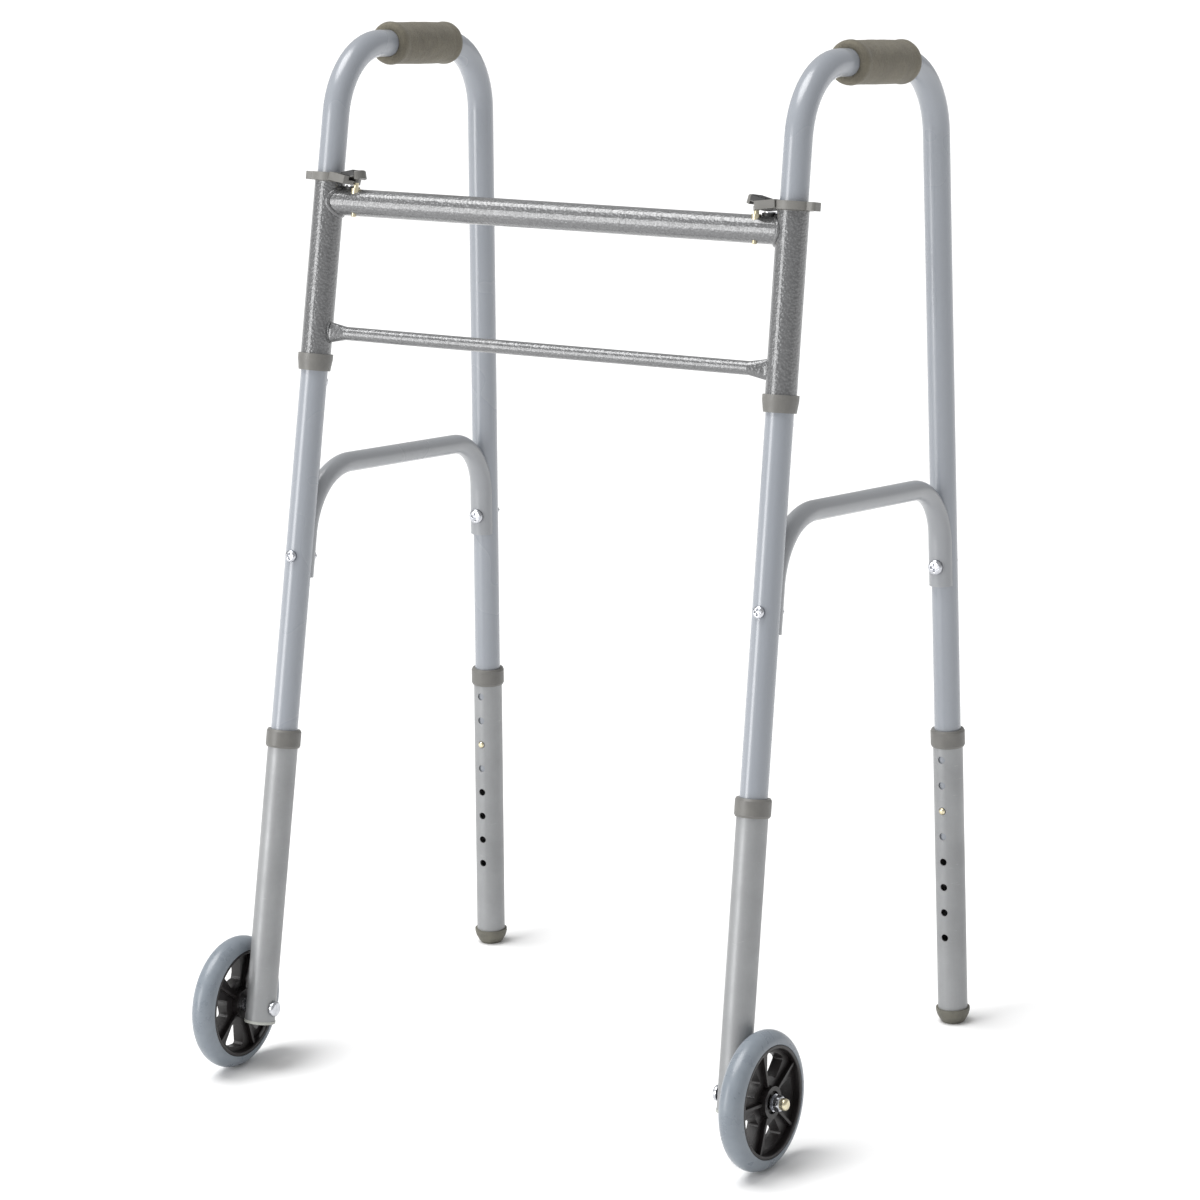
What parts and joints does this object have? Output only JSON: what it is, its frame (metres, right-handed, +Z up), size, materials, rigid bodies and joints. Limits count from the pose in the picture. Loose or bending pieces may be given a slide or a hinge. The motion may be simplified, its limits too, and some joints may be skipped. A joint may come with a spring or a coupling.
{
  "type": "walking frame",
  "caption": "Folding walking frame of bent tube with two front wheels, rubber rear tips, hand grips, two crossbars, folding sides and telescoping legs.",
  "frame": {"origin": "middle of the bounding box on the floor", "axes": "+Z up, -Y to the front, where the wheels are, +X to the right as seen from the front"},
  "size_m": [0.6278, 0.5044, 0.9686],
  "materials": {
    "side_paint": "glossy light grey paint",
    "brace_paint": "satin grey paint",
    "hammered_paint": "hammered grey enamel",
    "leg_tube": "satin anodised",
    "grey_plastic": "matt",
    "pale_plastic": "matt",
    "grip_foam": "fine-grained foam",
    "tyre_rubber": "satin",
    "hub_plastic": "satin",
    "tip_rubber": "matt",
    "pad_rubber": "matt",
    "zinc": "bright zinc plate",
    "brass": "yellow plate"
  },
  "bodies": {
    "front_frame": {"upper_crossbar": "hammered_paint", "lower_crossbar": "hammered_paint", "sleeve_right": "hammered_paint", "sleeve_left": "hammered_paint", "thrust_washers": "grey_plastic", "lower_collars": "grey_plastic", "pin_guides": "brass", "arm_pads": "pad_rubber", "pad_washers": "zinc", "lock_spring_right": "zinc", "lock_spring_left": "zinc"},
    "side_frame_right": {"side_tube_right": "side_paint", "handgrip_right": "grip_foam", "side_brace_right": "brace_paint", "brace_bolts_right": "zinc", "brace_nuts_right": "zinc", "stop_screw_right": "zinc", "lock_ring_right": "grey_plastic", "paddle_pin_right": "zinc", "snap_springs_right": "zinc"},
    "wheel_leg_right": {"wheel_leg_right": "leg_tube", "wheel_leg_collar_right": "grey_plastic", "wheel_leg_plug_right": "pale_plastic", "axle_bolt_right": "zinc", "axle_washers_right": "zinc", "axle_nut_right": "zinc"},
    "front_wheel_right": {"wheel_hub_right": "hub_plastic", "tyre_right": "tyre_rubber"},
    "rear_leg_right": {"rear_leg_right": "leg_tube", "rear_leg_collar_right": "grey_plastic", "rear_tip_right": "tip_rubber"},
    "front_snap_button_right": {"front_snap_button_right": "brass"},
    "rear_snap_button_right": {"rear_snap_button_right": "brass"},
    "paddle_right": {"paddle_right": "grey_plastic"},
    "lock_pin_right": {"lock_pin_right": "brass"},
    "side_frame_left": {"side_tube_left": "side_paint", "handgrip_left": "grip_foam", "side_brace_left": "brace_paint", "brace_bolts_left": "zinc", "brace_nuts_left": "zinc", "stop_screw_left": "zinc", "lock_ring_left": "grey_plastic", "paddle_pin_left": "zinc", "snap_springs_left": "zinc"},
    "wheel_leg_left": {"wheel_leg_left": "leg_tube", "wheel_leg_collar_left": "grey_plastic", "wheel_leg_plug_left": "pale_plastic", "axle_bolt_left": "zinc", "axle_washers_left": "zinc", "axle_nut_left": "zinc"},
    "front_wheel_left": {"wheel_hub_left": "hub_plastic", "tyre_left": "tyre_rubber"},
    "rear_leg_left": {"rear_leg_left": "leg_tube", "rear_leg_collar_left": "grey_plastic", "rear_tip_left": "tip_rubber"},
    "front_snap_button_left": {"front_snap_button_left": "brass"},
    "rear_snap_button_left": {"rear_snap_button_left": "brass"},
    "paddle_left": {"paddle_left": "grey_plastic"},
    "lock_pin_left": {"lock_pin_left": "brass"}
  },
  "joints": [
    {"name": "fold_right", "type": "hinge", "parent": "front_frame", "child": "side_frame_right", "pos_m": [0.2471, -0.0329, 0.8131], "axis": [-0.0142, 0.2027, 0.9791], "range_deg": [0, 83]},
    {"name": "wheel_leg_height_right", "type": "slide", "parent": "side_frame_right", "child": "wheel_leg_right", "axis": [0.0142, -0.2027, -0.9791], "range_m": [-0.127, 0.0508], "deforming": ["front_snap_button_right"]},
    {"name": "wheel_spin_right", "type": "hinge", "parent": "wheel_leg_right", "child": "front_wheel_right", "pos_m": [0.25797, -0.18805, 0.0636], "axis": [0.9996, -0.0194, 0.0185], "continuous": true},
    {"name": "rear_leg_height_right", "type": "slide", "parent": "side_frame_right", "child": "rear_leg_right", "axis": [0.0182, -0.014, -0.9997], "range_m": [-0.127, 0.0508], "deforming": ["rear_snap_button_right"]},
    {"name": "front_button_press_right", "type": "slide", "parent": "side_frame_right", "child": "front_snap_button_right", "axis": [-0.0228, -0.9791, 0.2023], "range_m": [0, 0.0038], "stiffness_N_per_m": 1500, "springref_m": -0.002, "deforming": ["snap_springs_right"]},
    {"name": "rear_button_press_right", "type": "slide", "parent": "side_frame_right", "child": "rear_snap_button_right", "axis": [0.0197, 0.9997, -0.0136], "range_m": [0, 0.0038], "stiffness_N_per_m": 1500, "springref_m": -0.002, "deforming": ["snap_springs_right"]},
    {"name": "paddle_press_right", "type": "hinge", "parent": "side_frame_right", "child": "paddle_right", "pos_m": [0.22614, -0.03431, 0.83607], "axis": [-0.0228, -0.9791, 0.2023], "range_deg": [0, 13.5], "stiffness_Nm_per_rad": 0.4, "springref_deg": -11.46},
    {"name": "lock_pin_press_right", "type": "slide", "parent": "front_frame", "child": "lock_pin_right", "axis": [0.0142, -0.2027, -0.9791], "range_m": [0, 0.00295], "deforming": ["lock_spring_right"]},
    {"name": "fold_left", "type": "hinge", "parent": "front_frame", "child": "side_frame_left", "pos_m": [-0.2471, -0.0329, 0.8131], "axis": [-0.0142, -0.2027, -0.9791], "range_deg": [0, 68]},
    {"name": "wheel_leg_height_left", "type": "slide", "parent": "side_frame_left", "child": "wheel_leg_left", "axis": [-0.0142, -0.2027, -0.9791], "range_m": [-0.127, 0.0508], "deforming": ["front_snap_button_left"]},
    {"name": "wheel_spin_left", "type": "hinge", "parent": "wheel_leg_left", "child": "front_wheel_left", "pos_m": [-0.25797, -0.18805, 0.0636], "axis": [0.9996, 0.0194, -0.0185], "continuous": true},
    {"name": "rear_leg_height_left", "type": "slide", "parent": "side_frame_left", "child": "rear_leg_left", "axis": [-0.0182, -0.014, -0.9997], "range_m": [-0.127, 0.0508], "deforming": ["rear_snap_button_left"]},
    {"name": "front_button_press_left", "type": "slide", "parent": "side_frame_left", "child": "front_snap_button_left", "axis": [0.0228, -0.9791, 0.2023], "range_m": [0, 0.0038], "stiffness_N_per_m": 1500, "springref_m": -0.002, "deforming": ["snap_springs_left"]},
    {"name": "rear_button_press_left", "type": "slide", "parent": "side_frame_left", "child": "rear_snap_button_left", "axis": [-0.0197, 0.9997, -0.0136], "range_m": [0, 0.0038], "stiffness_N_per_m": 1500, "springref_m": -0.002, "deforming": ["snap_springs_left"]},
    {"name": "paddle_press_left", "type": "hinge", "parent": "side_frame_left", "child": "paddle_left", "pos_m": [-0.22614, -0.03431, 0.83607], "axis": [-0.0228, 0.9791, -0.2023], "range_deg": [0, 13.5], "stiffness_Nm_per_rad": 0.4, "springref_deg": -11.46},
    {"name": "lock_pin_press_left", "type": "slide", "parent": "front_frame", "child": "lock_pin_left", "axis": [-0.0142, -0.2027, -0.9791], "range_m": [0, 0.00295], "deforming": ["lock_spring_left"]}
  ],
  "couplings": [
    {"joint": "lock_pin_press_right", "follows": "paddle_press_right", "m_per_rad": 0.0125},
    {"joint": "lock_pin_press_left", "follows": "paddle_press_left", "m_per_rad": 0.0125}
  ]
}
